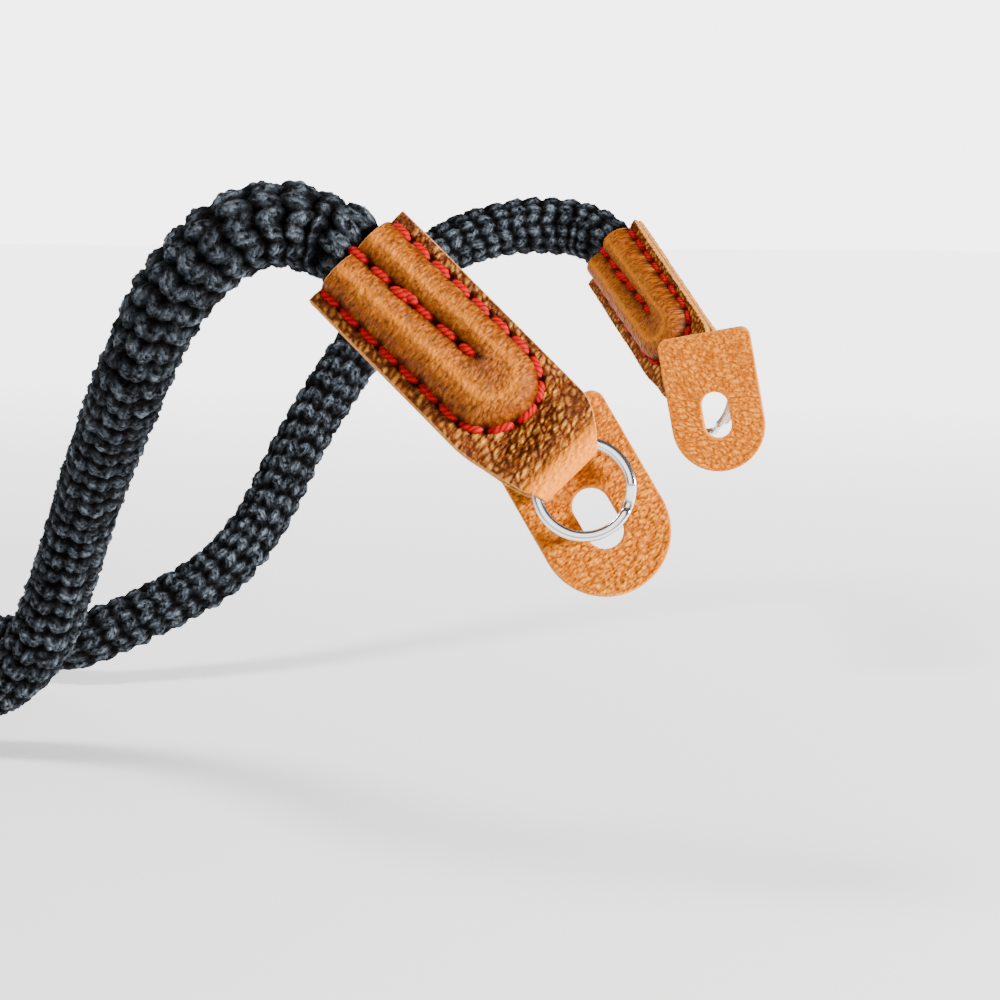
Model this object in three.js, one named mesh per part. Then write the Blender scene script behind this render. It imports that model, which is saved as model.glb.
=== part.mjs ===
import * as THREE from 'three';

// Rope neck strap with two leather ends, each on a split ring with a leather guard patch.
// Millimetres, +Z up. The origin is the point that the near ring hangs on.
// +Y runs from there to the far ring's hanging point, and the strap trails back along -X.

// Rope
const ropeDiameter = 12;
const ropeSides = 10;
const ropeSteps = 80;

// Leather end: one strip folded round the ring, its two layers sewn into a pouch over the rope
const endLength = 44.6;        // mouth to the tip of the fold
const endWidth = 18.8;
const endSlide = 0.35;         // the sewn part sits this far across from the ring's middle
const leatherWall = 1.3;
const layerGap = 0.3;          // between the two layers outside the pouch
const foldWidth = 8;           // width of the strip's inner face where it meets the ring's faces
const tipWidth = 8.8;          // and of its inner face at the tip of the fold
const neckWidth = 10.4;        // width of its outer face at the tip of the fold
const leftTaper = 15.5;        // tip to where the left edge starts to curve in
const rightTaper = 8;          // and the right edge
const pouchWidth = 13.2;       // between the feet of the two ridges
const pouchLength = 33.2;      // mouth to the closed end of the pouch
const pouchDrift = 0.7;        // the pouch runs this much to the right on its way
const grooveLength = 24.4;     // mouth to the end of the groove between the ridges
const grooveDrift = 1.1;       // the groove runs this much more to the right
const grooveFade = 3;          // length over which the groove ends
const ridgeHeight = 3.9;       // hollow of a ridge above the layers' meeting plane
const grooveHeight = 1.2;      // hollow left under the groove
const sealWidth = 1;           // layers sewn flat beyond the pouch's closed end
const ropeEndRim = 0.7;        // the sewn-in rope's thickness at its edge

// Split ring: two flat-wound turns of wire
const ringDiameter = 15;
const wireWidth = 1.5;         // along the radius
const wireHeight = 1.0;        // along the ring's axis
const wireFlat = 0.6;          // share of the wire's width that is flat
const coilGap = 0.15;          // between the two turns
const stepAngle = 24;          // degrees over which the wire steps from one turn to the other
const endGapAngle = 6;         // degrees between that step and each wire end
const ringTurns = 2;
const ringSteps = 60;

// Guard patch
const patchWidth = 19;
const patchLength = 28.5;
const patchThickness = 1.6;
const patchCorner = 2;
const slotWidth = 5.5;
const slotLength = 9.4;
const slotToRoundEnd = 11.6;   // slot centre to the round end
const hangBelowSlot = 2.4;     // hanging point below the slot's centre

// Fits
const clearance = 0.3;         // between pieces that touch
const ringPlay = 0.4;          // ring in the fold, each side
const wireSeatGap = 0.25;      // fold's edges to the inside of the ring

// Hanging points of the two rings
const hangSpacing = 132;
const hangSetBack = 1.5;       // the far one behind the near one

// How each end hangs, in degrees. rise: above level. heading: outwards from straight back.
// faceRoll: how far its sewn face is turned up. ringSwing: ring's turn about its hanging point.
// A patch lies behind its ring's back (side -1) or its face (side 1).
const ends = [
  {
    name: 'near', hangsAt: new THREE.Vector3(0, 0, 0),
    rise: 43.6, heading: 1, faceRoll: 21, ringSwing: 14, stepAt: -50,
    patch: { rise: 57, heading: 11, faceRoll: 29.4, side: -1 },
  },
  {
    name: 'far', hangsAt: new THREE.Vector3(-hangSetBack, hangSpacing, 0),
    rise: 37.5, heading: 47.5, faceRoll: 15, ringSwing: 8, stepAt: -110,
    patch: { rise: 79, heading: 0, faceRoll: 0, side: 1 },
  },
];

// The rope's way from the near mouth to the far one, chosen by hand: over the arch, down
// behind the ends, round on the surface it lies on and up to the far end's arch.
const ropeRoute = [
  [-42.1, 2.3, 41.1], [-47.6, 1.5, 42.8], [-52.9, 0.1, 42.4], [-57.7, -0.4, 39.9],
  [-62.8, 0.3, 35.7], [-68.6, 2.5, 29.3], [-75.2, 7.8, 20.2], [-85.7, 21.0, 8.3],
  [-96.1, 33.0, -5.5], [-105.6, 42.2, -21.2], [-112.9, 46.3, -33.3], [-120.8, 48.4, -40.7],
  [-150, 45.5, -47.9], [-184, 33.5, -48.2], [-220, 22, -48.2], [-256, 19, -48.2],
  [-285, 32, -48.2], [-301, 60, -48.2], [-305, 92, -48.2], [-299, 122, -48.2],
  [-279, 146, -48.2], [-250, 153, -48.2], [-222, 144, -48.2], [-194, 126, -48.2],
  [-165, 110, -48.1], [-132.6, 103.0, -46.1], [-123.8, 106.2, -42.7], [-114.1, 111.4, -37.9],
  [-105.4, 117.1, -32.2], [-98.8, 123.3, -23.0], [-92.5, 131.0, -7.2], [-85.7, 139.6, 7.2],
  [-78.6, 150.3, 20.8], [-73.0, 156.7, 29.8], [-64.4, 163.5, 36.1], [-55.6, 168.1, 38.8],
  [-46.2, 170.0, 39.4], [-37.2, 168.9, 38.3],
];
const ropeStraight = 2.5;        // straight stretch outside each mouth

function finish(name, color, roughness, metalness) {
  return new THREE.MeshStandardMaterial({ name, color, roughness, metalness });
}

const leather = finish('tan_leather', 0xa8642e, 0.6, 0);
const patchLeather = finish('orange_leather', 0xc9823f, 0.65, 0);
const cotton = finish('black_cotton', 0x15171c, 0.95, 0);
const nickel = finish('nickel', 0xd5d7da, 0.18, 1);

const radians = THREE.MathUtils.degToRad;
const mix = THREE.MathUtils.lerp;
const fullTurn = 360;
const ringRadius = (ringDiameter - wireWidth) / 2;
const ringInner = ringDiameter / 2 - wireWidth;
const ringHalfHeight = wireHeight + coilGap / 2;
const foldInner = ringHalfHeight + ringPlay;
const foldOuter = foldInner + leatherWall;

// Distance from the ring's centre to the centre of the fold's bend: its edges seat on the wire
const foldCentre = Math.sqrt((ringInner - wireSeatGap) ** 2 - (foldWidth / 2) ** 2)
  + Math.sqrt(foldInner ** 2 - ringHalfHeight ** 2);
const foldStraight = endLength - foldOuter;   // mouth to the start of the bend

function smooth(low, high, value) {
  return THREE.MathUtils.smoothstep(value, low, high);
}

// Height of a two-ridged pouch over its plane, at u from the mouth and v from the middle.
// reach is half a ridge's width, top its height and floor the height left in the groove.
function ridge(u, v, reach, top, floor) {
  const middle = pouchWidth / 4;
  const closedEnd = pouchLength - pouchWidth / 2;
  const out = u > closedEnd ? Math.hypot(u - closedEnd, v) : Math.abs(v);
  const share = Math.abs(out - middle) / reach;
  const round = top * Math.sqrt(Math.max(0, 1 - share ** 2));
  if (out > middle) return round;
  const groove = smooth(0, grooveFade, grooveLength - u);
  return mix(top, Math.max(round, floor), groove);
}

// Outer face and inner face of a layer above the meeting plane
function outerHeight(u, v) {
  const top = ridgeHeight;
  return layerOpening(u) + leatherWall + ridge(u, v, pouchWidth / 4 + leatherWall / 4, top, grooveHeight);
}

function innerHeight(u, v) {
  return layerOpening(u) + ridge(u, v, pouchWidth / 4 - leatherWall / 4, ridgeHeight, grooveHeight);
}

// The layers part to let the ring's wire through the fold
function layerOpening(u) {
  const wireReach = foldStraight + foldCentre - ringDiameter / 2 - clearance;
  return mix(layerGap / 2, foldInner, smooth(pouchLength + sealWidth, wireReach, u));
}

// Middle of the strip to its left and right edges, which curve in towards the fold
function halfWidths(u) {
  return [leftTaper, rightTaper].map((taper) => {
    const share = THREE.MathUtils.clamp((u - endLength + taper) / taper, 0, 1);
    return mix(neckWidth, endWidth, Math.cos(share * Math.PI / 2)) / 2;
  });
}

// The sewn form runs a little to the right: x of a point that is w from the pouch's middle
function acrossAt(u, w) {
  const sewn = smooth(0, foldStraight - pouchLength, foldStraight - u);
  const margin = (endWidth - pouchWidth - leatherWall / 2) / 2;
  const inPouch = THREE.MathUtils.clamp((endWidth / 2 - Math.abs(w)) / margin, 0, 1);
  const inGroove = Math.max(0, 1 - Math.abs(w) / (pouchWidth / 2));
  const pouch = pouchDrift * smooth(0, pouchLength, u) * inPouch;
  const groove = grooveDrift * Math.min(1, u / grooveLength) * inGroove;
  return w + sewn * (endSlide + pouch + groove);
}

function steps(from, to, count) {
  return Array.from({ length: count }, (none, i) => mix(from, to, i / count));
}

// Closed body from a grid of outer points and one of inner points, row by row
function shell(outer, inner) {
  const rows = outer.length;
  const columns = outer[0].length;
  const positions = [];
  const index = [];
  for (const grid of [outer, inner]) {
    for (const row of grid) row.forEach((point) => positions.push(...point));
  }
  const at = (side, row, column) => (side * rows + row) * columns + column;
  const quad = (a, b, c, d) => index.push(a, b, c, a, c, d);
  for (let i = 0; i < rows - 1; i++) {
    for (let j = 0; j < columns - 1; j++) {
      quad(at(0, i, j), at(0, i + 1, j), at(0, i + 1, j + 1), at(0, i, j + 1));
      quad(at(1, i, j), at(1, i, j + 1), at(1, i + 1, j + 1), at(1, i + 1, j));
    }
    const last = columns - 1;
    quad(at(0, i, 0), at(1, i, 0), at(1, i + 1, 0), at(0, i + 1, 0));
    quad(at(0, i, last), at(0, i + 1, last), at(1, i + 1, last), at(1, i, last));
  }
  for (let j = 0; j < columns - 1; j++) {
    const last = rows - 1;
    quad(at(0, 0, j), at(0, 0, j + 1), at(1, 0, j + 1), at(1, 0, j));
    quad(at(0, last, j), at(1, last, j), at(1, last, j + 1), at(0, last, j + 1));
  }
  const geometry = new THREE.BufferGeometry();
  geometry.setAttribute('position', new THREE.Float32BufferAttribute(positions, 3));
  geometry.setIndex(index);
  return geometry;
}

// Columns across the strip: its edges and the feet, tops and flanks of the two ridges
function columnsAcross(left, right) {
  const foot = pouchWidth / 2 + leatherWall / 4;
  const shares = [0, 0.12, 0.28, 0.5, 0.72, 0.88, 0.97, 1.02];
  const columns = (half) => {
    const narrow = Math.min(1, half / (endWidth / 2));
    return shares.map((share) => share * foot * narrow).concat(half);
  };
  return columns(left).slice(1).reverse().map((w) => -w).concat(columns(right));
}

// Folded strip in the end's own frame: x across, y towards the mouth, z out of the sewn face
function leatherEndGeometry() {
  const mouth = foldCentre - foldOuter + endLength;
  const stations = [
    ...steps(0, grooveLength - grooveFade, 4),
    ...steps(grooveLength - grooveFade, pouchLength, 9),
    ...steps(pouchLength, foldStraight, 7),
  ];
  const outer = [];
  const inner = [];
  const layer = (u, side) => {
    const across = columnsAcross(...halfWidths(u));
    outer.push(across.map((w) => [acrossAt(u, w), mouth - u, side * outerHeight(u, w)]));
    inner.push(across.map((w) => [acrossAt(u, w), mouth - u, side * innerHeight(u, w)]));
  };
  stations.forEach((u) => layer(u, 1));
  // Round the bend the inner face narrows to pass between the ring's wires
  const foldSteps = 10;
  for (let i = 1; i < foldSteps; i++) {
    const angle = Math.PI * i / foldSteps;
    const edges = halfWidths(foldStraight + foldOuter * Math.sin(angle));
    const level = Math.abs(foldInner * Math.cos(angle));
    const waist = mix(tipWidth, foldWidth, smooth(0, ringHalfHeight, level)) / 2;
    const clear = smooth(ringHalfHeight + ringPlay / 4, foldInner, level);
    const bend = (radius) => [foldCentre - radius * Math.sin(angle), radius * Math.cos(angle)];
    const innerEdges = edges.map((edge) => mix(waist, edge, clear));
    outer.push(columnsAcross(...edges).map((w) => [w, ...bend(foldOuter)]));
    inner.push(columnsAcross(...innerEdges).map((w) => [w, ...bend(foldInner)]));
  }
  stations.reverse().forEach((u) => layer(u, -1));
  return shell(outer, inner);
}

// Sewn-in rope end: fills the pouch but for the clearance, flush with the mouth
function ropeEndGeometry() {
  const mouth = foldCentre - foldOuter + endLength;
  const middle = pouchWidth / 4;
  const reach = middle - leatherWall / 4 - clearance;
  const closedEnd = pouchLength - pouchWidth / 2;
  const depth = closedEnd + middle + reach * 0.9;
  const height = (u, v) => layerGap / 2 - clearance
    + ridge(u, v, reach, ridgeHeight, grooveHeight);
  const shares = [-1, -0.94, -0.78, -0.5, -0.22, 0, 0.22, 0.5, 0.78, 0.94, 1];
  const outer = [];
  const inner = [];
  const stations = [
    ...steps(0, grooveLength - grooveFade, 4),
    ...steps(grooveLength - grooveFade, depth, 6),
    depth,
  ];
  for (const u of stations) {
    const past = Math.max(0, u - closedEnd);
    const half = Math.sqrt(Math.max(0, (middle + reach) ** 2 - past ** 2));
    const face = (side) => shares.map((share) => [
      acrossAt(u, share * half), mouth - u, side * Math.max(ropeEndRim / 2, height(u, share * half)),
    ]);
    outer.push(face(1));
    inner.push(face(-1));
  }
  return shell(outer, inner);
}

// Two turns of wire with one step between them, starting beyond the step and ending before it
class SplitRingCurve extends THREE.Curve {
  getPoint(t, target = new THREE.Vector3()) {
    const margin = stepAngle / 2 + endGapAngle;
    const angle = mix(margin, ringTurns * fullTurn - margin, t);
    const level = smooth(fullTurn - stepAngle / 2, fullTurn + stepAngle / 2, angle) * 2 - 1;
    const turn = radians(angle);
    return target.set(
      ringRadius * Math.cos(turn),
      ringRadius * Math.sin(turn),
      level * (wireHeight + coilGap) / 2,
    );
  }
}

// Section of the wire, flat with rounded sides: x along the ring's axis, y along the radius
function wireShape() {
  const flat = wireWidth * wireFlat / 2;
  const shape = new THREE.Shape();
  shape.moveTo(0, wireWidth / 2);
  shape.lineTo(-wireHeight / 2, flat);
  shape.lineTo(-wireHeight / 2, -flat);
  shape.lineTo(0, -wireWidth / 2);
  shape.lineTo(wireHeight / 2, -flat);
  shape.lineTo(wireHeight / 2, flat);
  return shape;
}

function splitRingGeometry() {
  return new THREE.ExtrudeGeometry(wireShape(), {
    steps: ringSteps, extrudePath: new SplitRingCurve(), bevelEnabled: false,
  });
}

// Tongue with a straight top, a round lower end and a slot, centred on the slot
function patchGeometry() {
  const half = patchWidth / 2;
  const top = patchLength - slotToRoundEnd;
  const roundCentre = half - slotToRoundEnd;
  const shape = new THREE.Shape();
  shape.moveTo(half, roundCentre);
  shape.lineTo(half, top - patchCorner);
  shape.absarc(half - patchCorner, top - patchCorner, patchCorner, 0, Math.PI / 2);
  shape.lineTo(-half + patchCorner, top);
  shape.absarc(-half + patchCorner, top - patchCorner, patchCorner, Math.PI / 2, Math.PI);
  shape.lineTo(-half, roundCentre);
  shape.absarc(0, roundCentre, half, Math.PI, 2 * Math.PI);
  const slot = new THREE.Path();
  const slotRadius = slotWidth / 2;
  const slotStraight = slotLength / 2 - slotRadius;
  slot.absarc(0, slotStraight, slotRadius, 0, Math.PI);
  slot.absarc(0, -slotStraight, slotRadius, Math.PI, 2 * Math.PI);
  shape.holes.push(slot);
  const geometry = new THREE.ExtrudeGeometry(shape, {
    depth: patchThickness, bevelEnabled: false, curveSegments: 12,
  });
  return geometry.translate(0, 0, -patchThickness / 2);
}

// Axes of a hanging piece: x across it, y along it and up, z out of its face
function hangingAxes({ rise, heading, faceRoll }) {
  const up = radians(rise);
  const outwards = radians(heading);
  const roll = radians(faceRoll);
  const back = new THREE.Vector3(-Math.cos(outwards), Math.sin(outwards), 0);
  const along = back.clone().multiplyScalar(Math.cos(up)).setZ(Math.sin(up));
  const above = back.clone().multiplyScalar(-Math.sin(up)).setZ(Math.cos(up));
  const side = new THREE.Vector3().crossVectors(along, above);
  const across = above.clone().multiplyScalar(Math.cos(roll)).addScaledVector(side, Math.sin(roll));
  const face = new THREE.Vector3().crossVectors(across, along);
  return { across, along, face };
}

function place(mesh, { across, along, face }, position) {
  mesh.quaternion.setFromRotationMatrix(new THREE.Matrix4().makeBasis(across, along, face));
  mesh.position.copy(position);
  return mesh;
}

function named(name, geometry, material) {
  const mesh = new THREE.Mesh(geometry, material);
  mesh.name = name;
  return mesh;
}

// How far the ring and, along the ring's axis, the fold reach from the hanging point
function reachAlong(direction, axes, ringCentre) {
  const tilt = Math.hypot(axes.across.dot(direction), axes.along.dot(direction));
  const thick = Math.abs(axes.face.dot(direction));
  const ring = ringCentre.dot(direction) + ringDiameter / 2 * tilt + ringHalfHeight * thick;
  const foldAt = ringCentre.clone().addScaledVector(axes.along, foldCentre);
  const fold = foldAt.dot(direction) + foldOuter;
  return tilt < 0.1 ? Math.max(ring, fold) : ring;
}

function strapEnd(end) {
  const axes = hangingAxes(end);
  const swing = radians(end.ringSwing);
  const ringCentre = new THREE.Vector3()
    .addScaledVector(axes.along, ringRadius * Math.cos(swing))
    .addScaledVector(axes.across, ringRadius * Math.sin(swing));
  const centre = end.hangsAt.clone().add(ringCentre);
  const group = new THREE.Group();
  group.add(place(named(`leather_end_${end.name}`, leatherEndGeometry(), leather), axes, centre));
  group.add(place(named(`rope_end_${end.name}`, ropeEndGeometry(), cotton), axes, centre));
  const ring = named(`split_ring_${end.name}`, splitRingGeometry().rotateZ(radians(end.stepAt)), nickel);
  group.add(place(ring, axes, centre));
  const hang = hangingAxes(end.patch);
  const towards = hang.face.clone().multiplyScalar(end.patch.side);
  const standOff = reachAlong(towards, axes, ringCentre) + clearance + patchThickness / 2;
  const patchCentre = end.hangsAt.clone()
    .addScaledVector(towards, standOff)
    .addScaledVector(hang.along, hangBelowSlot);
  group.add(place(named(`lug_patch_${end.name}`, patchGeometry(), patchLeather), hang, patchCentre));
  const mouth = centre.clone()
    .addScaledVector(axes.along, foldCentre - foldOuter + endLength)
    .addScaledVector(axes.across, endSlide);
  return { group, mouth, along: axes.along };
}

function ropeGeometry(near, far) {
  const out = (end, distance) => end.mouth.clone().addScaledVector(end.along, distance);
  const curve = new THREE.CatmullRomCurve3([
    out(near, clearance),
    out(near, ropeStraight),
    ...ropeRoute.map((point) => new THREE.Vector3(...point)),
    out(far, ropeStraight),
    out(far, clearance),
  ], false, 'centripetal');
  const section = new THREE.Shape();
  for (let i = 0; i < ropeSides; i++) {
    const angle = 2 * Math.PI * i / ropeSides;
    const point = [ropeDiameter / 2 * Math.cos(angle), ropeDiameter / 2 * Math.sin(angle)];
    if (i === 0) section.moveTo(...point);
    else section.lineTo(...point);
  }
  return new THREE.ExtrudeGeometry(section, { steps: ropeSteps, extrudePath: curve, bevelEnabled: false });
}

const strap = new THREE.Group();
const [near, far] = ends.map(strapEnd);
strap.add(near.group, far.group);
strap.add(named('rope', ropeGeometry(near, far), cotton));

export default strap;
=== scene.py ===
import math

import bpy
import numpy as np
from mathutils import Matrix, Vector


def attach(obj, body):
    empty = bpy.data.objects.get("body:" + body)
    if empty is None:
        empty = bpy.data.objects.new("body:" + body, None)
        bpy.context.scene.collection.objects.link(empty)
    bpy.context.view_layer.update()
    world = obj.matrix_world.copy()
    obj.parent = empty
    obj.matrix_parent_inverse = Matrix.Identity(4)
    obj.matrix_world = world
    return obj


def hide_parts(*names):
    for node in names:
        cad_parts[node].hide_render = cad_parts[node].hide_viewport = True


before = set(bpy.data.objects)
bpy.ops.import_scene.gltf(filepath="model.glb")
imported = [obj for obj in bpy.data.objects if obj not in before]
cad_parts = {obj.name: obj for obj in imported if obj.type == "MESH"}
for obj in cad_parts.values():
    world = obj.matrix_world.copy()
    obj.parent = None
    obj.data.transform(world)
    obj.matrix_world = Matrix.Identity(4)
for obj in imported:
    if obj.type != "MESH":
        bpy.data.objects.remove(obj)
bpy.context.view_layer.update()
print("frame loaded")

# Sizes are in millimetres and angles in degrees, in the frame of the part. A mesh is made in metres.
mm = 0.001

camera = {
    "azimuth": 13.7, "elevation": 8.8, "lens": 73.4, "sensor": 36, "nearest": 10, "position": (52.79, -281.44, 48.59),
}


def addCamera():
    data = bpy.data.cameras.new("camera")
    data.lens = camera["lens"]
    data.sensor_width = camera["sensor"]
    data.dof.use_dof = False
    data.clip_start = camera["nearest"] * mm
    view = bpy.data.objects.new("camera", data)
    view.location = Vector(camera["position"]) * mm
    view.rotation_euler = (math.radians(90 - camera["elevation"]), 0, math.radians(camera["azimuth"]))
    bpy.context.scene.collection.objects.link(view)
    bpy.context.scene.camera = view


addCamera()
print("camera placed")


def mix(a, b, share):
    return a + (b - a) * share


def smooth(low, high, value):
    t = np.clip((value - low) / (high - low), 0, 1)
    return t * t * (3 - 2 * t)


# How far a rounded edge lies below the face, at a distance from the edge
def edgeDrop(distance, radius):
    inward = np.clip(1 - distance / radius, 0, 1)
    return radius * (1 - np.sqrt(1 - inward ** 2))


def arc(centreX, centreY, radius, fromAngle, toAngle, count):
    angles = np.radians(np.linspace(fromAngle, toAngle, count))
    return [(centreX + radius * math.cos(a), centreY + radius * math.sin(a)) for a in angles]


# The given number of points, evenly spaced round a closed outline
def evenly(outline, count):
    outline = np.array([*outline, outline[0]])
    lengths = np.concatenate([[0], np.cumsum(np.linalg.norm(np.diff(outline, axis=0), axis=1))])
    places = np.arange(count) * lengths[-1] / count
    return np.stack([np.interp(places, lengths, outline[:, k]) for k in (0, 1)], axis=1)


cellsAcross = 64  # cells before their scatter comes again


# Scattered cells: 0 where two meet, up to about 1 in their middles. The y wraps after the given number.
def cells(x, y, seed, wrap=cellsAcross):
    spots = np.random.default_rng(seed).random((cellsAcross, wrap, 2))
    column, row = np.floor(x).astype(int), np.floor(y).astype(int)
    reach = []
    for i in (-1, 0, 1):
        for j in (-1, 0, 1):
            spot = spots[(column + i) % cellsAcross, (row + j) % wrap]
            reach.append(np.hypot(column + i + spot[..., 0] - x, row + j + spot[..., 1] - y))
    reach = np.sort(reach, axis=0)
    return reach[1] - reach[0]


def linear(hexColour):
    values = [int(hexColour[i:i + 2], 16) / 255 for i in (0, 2, 4)]
    return [v / 12.92 if v <= 0.04045 else ((v + 0.055) / 1.055) ** 2.4 for v in values] + [1.0]


# Sets or links inputs, given by name, or in the sockets' order
def setInputs(tree, node, inputs):
    for name, value in inputs.items() if isinstance(inputs, dict) else enumerate(inputs):
        if isinstance(value, bpy.types.NodeSocket):
            tree.links.new(value, node.inputs[name])
        else:
            node.inputs[name].default_value = value


# Adds a shader node with its settings and inputs, and gives the named output, or else the first that is in use
def addNode(tree, kind, inputs=(), output=None, **settings):
    node = tree.nodes.new("ShaderNode" + kind)
    for name, value in settings.items():
        setattr(node, name, value)
    setInputs(tree, node, inputs)
    return node.outputs[output] if output else next(socket for socket in node.outputs if socket.enabled)


def newMaterial(name):
    material = bpy.data.materials.new(name)
    material.use_nodes = True
    return material, material.node_tree, material.node_tree.nodes["Principled BSDF"]


# Four-sided faces of a grid of points whose columns, and rows if looped, may close on themselves
def gridFaces(rows, columns, closed, looped=False):
    row = np.arange(rows if looped else rows - 1)[:, None]
    column = np.arange(columns if closed else columns - 1)[None, :]
    below = (row + 1) % rows * columns
    after = (column + 1) % columns
    corners = (row * columns + column, row * columns + after, below + after, below + column)
    return np.stack([(c + 0 * row * column).ravel() for c in corners], axis=1)


# A mesh with one material, and numbers at its points that the material reads
def addMesh(name, points, faces, material, values=None):
    mesh = bpy.data.meshes.new(name)
    mesh.from_pydata((np.asarray(points) * mm).tolist(), [], [list(face) for face in faces])
    for key, numbers in (values or {}).items():
        numbers = np.asarray(numbers, np.float32)
        vector = numbers.ndim == 2
        layer = mesh.attributes.new(key, "FLOAT_VECTOR" if vector else "FLOAT", "POINT")
        layer.data.foreach_set("vector" if vector else "value", numbers.ravel())
    mesh.polygons.foreach_set("use_smooth", [True] * len(mesh.polygons))
    mesh.materials.append(material)
    mesh.update()
    piece = bpy.data.objects.new(name, mesh)
    bpy.context.scene.collection.objects.link(piece)
    return piece


# How each end hangs, as in the part's source
ends = {
    "near": {
        "hangsAt": (0, 0, 0), "rise": 43.6, "heading": 1, "faceRoll": 21, "ringSwing": 14, "stepAt": -50,
        "patch": {"rise": 57, "heading": 11, "faceRoll": 29.4, "side": -1},
    },
    "far": {
        "hangsAt": (-1.5, 132, 0), "rise": 37.5, "heading": 47.5, "faceRoll": 15, "ringSwing": 8, "stepAt": -110,
        "patch": {"rise": 79, "heading": 0, "faceRoll": 0, "side": 1},
    },
}

splitRing = {
    "diameter": 15.0, "wireWidth": 1.5, "wireHeight": 1.0, "coilGap": 0.15, "stepAngle": 24.0,
    "endGapAngle": 6.0, "steps": 220, "sides": 14, "squareness": 0.62, "endTaper": 0.35,
    "nickel": "ececee", "smear": 2.0, "roughness": 0.08, "smearRoughness": 0.08,
}

leatherEnd = {
    "length": 44.6, "width": 18.8, "slide": 0.35, "wall": 1.3, "layerGap": 0.3,
    "foldWidth": 8.0, "tipWidth": 8.8, "neckWidth": 10.4, "leftTaper": 15.5, "rightTaper": 8.0,
    "pouchWidth": 13.2, "pouchLength": 33.2, "pouchDrift": 0.7, "grooveLength": 24.4, "grooveDrift": 1.1,
    "grooveFade": 3.0, "ridgeHeight": 3.9, "grooveHeight": 1.2, "sealWidth": 1.0,
    "ringPlay": 0.4, "wireSeatGap": 0.25, "wireClearance": 0.3, "edgeRound": 0.32, "acrossCount": 43, "alongCount": 186,
    "wrinkleLength": 1.7, "wrinklePitch": 0.95, "wrinkleLean": 27.0, "wrinkleDepth": 0.19, "seed": 3,
    "puckerHeight": 0.1, "slowSwell": 0.12, "fineSwell": 0.05,
}


# Axes of a hanging piece: across it, along it and up, out of its face
def hangingAxes(hang):
    up, outwards, roll = (math.radians(hang[key]) for key in ("rise", "heading", "faceRoll"))
    back = np.array((-math.cos(outwards), math.sin(outwards), 0))
    along = back * math.cos(up) + np.array((0, 0, math.sin(up)))
    above = -back * math.sin(up) + np.array((0, 0, math.cos(up)))
    side = np.cross(along, above)
    across = above * math.cos(roll) + side * math.sin(roll)
    return np.array((across, along, np.cross(across, along)))


ringRadius = (splitRing["diameter"] - splitRing["wireWidth"]) / 2
ringInner = splitRing["diameter"] / 2 - splitRing["wireWidth"]
ringHalfHeight = splitRing["wireHeight"] + splitRing["coilGap"] / 2
foldInner = ringHalfHeight + leatherEnd["ringPlay"]
foldOuter = foldInner + leatherEnd["wall"]
foldCentre = (
    math.sqrt((ringInner - leatherEnd["wireSeatGap"]) ** 2 - (leatherEnd["foldWidth"] / 2) ** 2)
    + math.sqrt(foldInner ** 2 - ringHalfHeight ** 2)
)
foldStraight = leatherEnd["length"] - foldOuter
mouthAt = foldCentre - foldOuter + leatherEnd["length"]
seamTurn = leatherEnd["pouchLength"] - leatherEnd["pouchWidth"] / 2

for end in ends.values():
    swing = math.radians(end["ringSwing"])
    end["axes"] = hangingAxes(end)
    offset = np.array((math.sin(swing), math.cos(swing), 0)) * ringRadius
    end["ringCentre"] = np.array(end["hangsAt"], float) + offset @ end["axes"]
    end["mouth"] = end["ringCentre"] + np.array((leatherEnd["slide"], mouthAt, 0)) @ end["axes"]


rope = {
    "diameter": 12.0, "wales": 7, "rowPitch": 4.0, "twistTurns": 1.0, "yarnAt": 0.93, "gapRadius": 4.7,
    "relief": 1.45, "legLength": 2.35, "legWidth": 1.6, "legOut": 1.3, "legTilt": 26.0, "legShift": 0.7,
    "legTurn": 0.25, "legRise": 0.16, "lumpsRound": 30, "squeeze": 1.3, "flattest": 0.35,
    "lobeWidth": 6.0, "lobeHeight": 3.9, "lobesEnd": 7.5, "insideMouth": 1.2, "startsAt": 0.3, "straightTo": 2.5,
    "visibleNear": 150.0, "visibleFar": 190.0, "nearStep": 0.36, "hiddenStep": 1.05, "farStep": 0.62,
    "curvePoints": 40, "sides": 84, "seed": 7,
}
yarnRadius = rope["diameter"] / 2 * rope["yarnAt"]

# The rope's way from mouth to mouth, as in the part's source
ropeRoute = [
    (-42.1, 2.3, 41.1), (-47.6, 1.5, 42.8), (-52.9, 0.1, 42.4), (-57.7, -0.4, 39.9),
    (-62.8, 0.3, 35.7), (-68.6, 2.5, 29.3), (-75.2, 7.8, 20.2), (-85.7, 21.0, 8.3),
    (-96.1, 33.0, -5.5), (-105.6, 42.2, -21.2), (-112.9, 46.3, -33.3), (-120.8, 48.4, -40.7),
    (-150, 45.5, -47.9), (-184, 33.5, -48.2), (-220, 22, -48.2), (-256, 19, -48.2),
    (-285, 32, -48.2), (-301, 60, -48.2), (-305, 92, -48.2), (-299, 122, -48.2),
    (-279, 146, -48.2), (-250, 153, -48.2), (-222, 144, -48.2), (-194, 126, -48.2),
    (-165, 110, -48.1), (-132.6, 103.0, -46.1), (-123.8, 106.2, -42.7), (-114.1, 111.4, -37.9),
    (-105.4, 117.1, -32.2), (-98.8, 123.3, -23.0), (-92.5, 131.0, -7.2), (-85.7, 139.6, 7.2),
    (-78.6, 150.3, 20.8), (-73.0, 156.7, 29.8), (-64.4, 163.5, 36.1), (-55.6, 168.1, 38.8),
    (-46.2, 170.0, 39.4), (-37.2, 168.9, 38.3),
]

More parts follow.
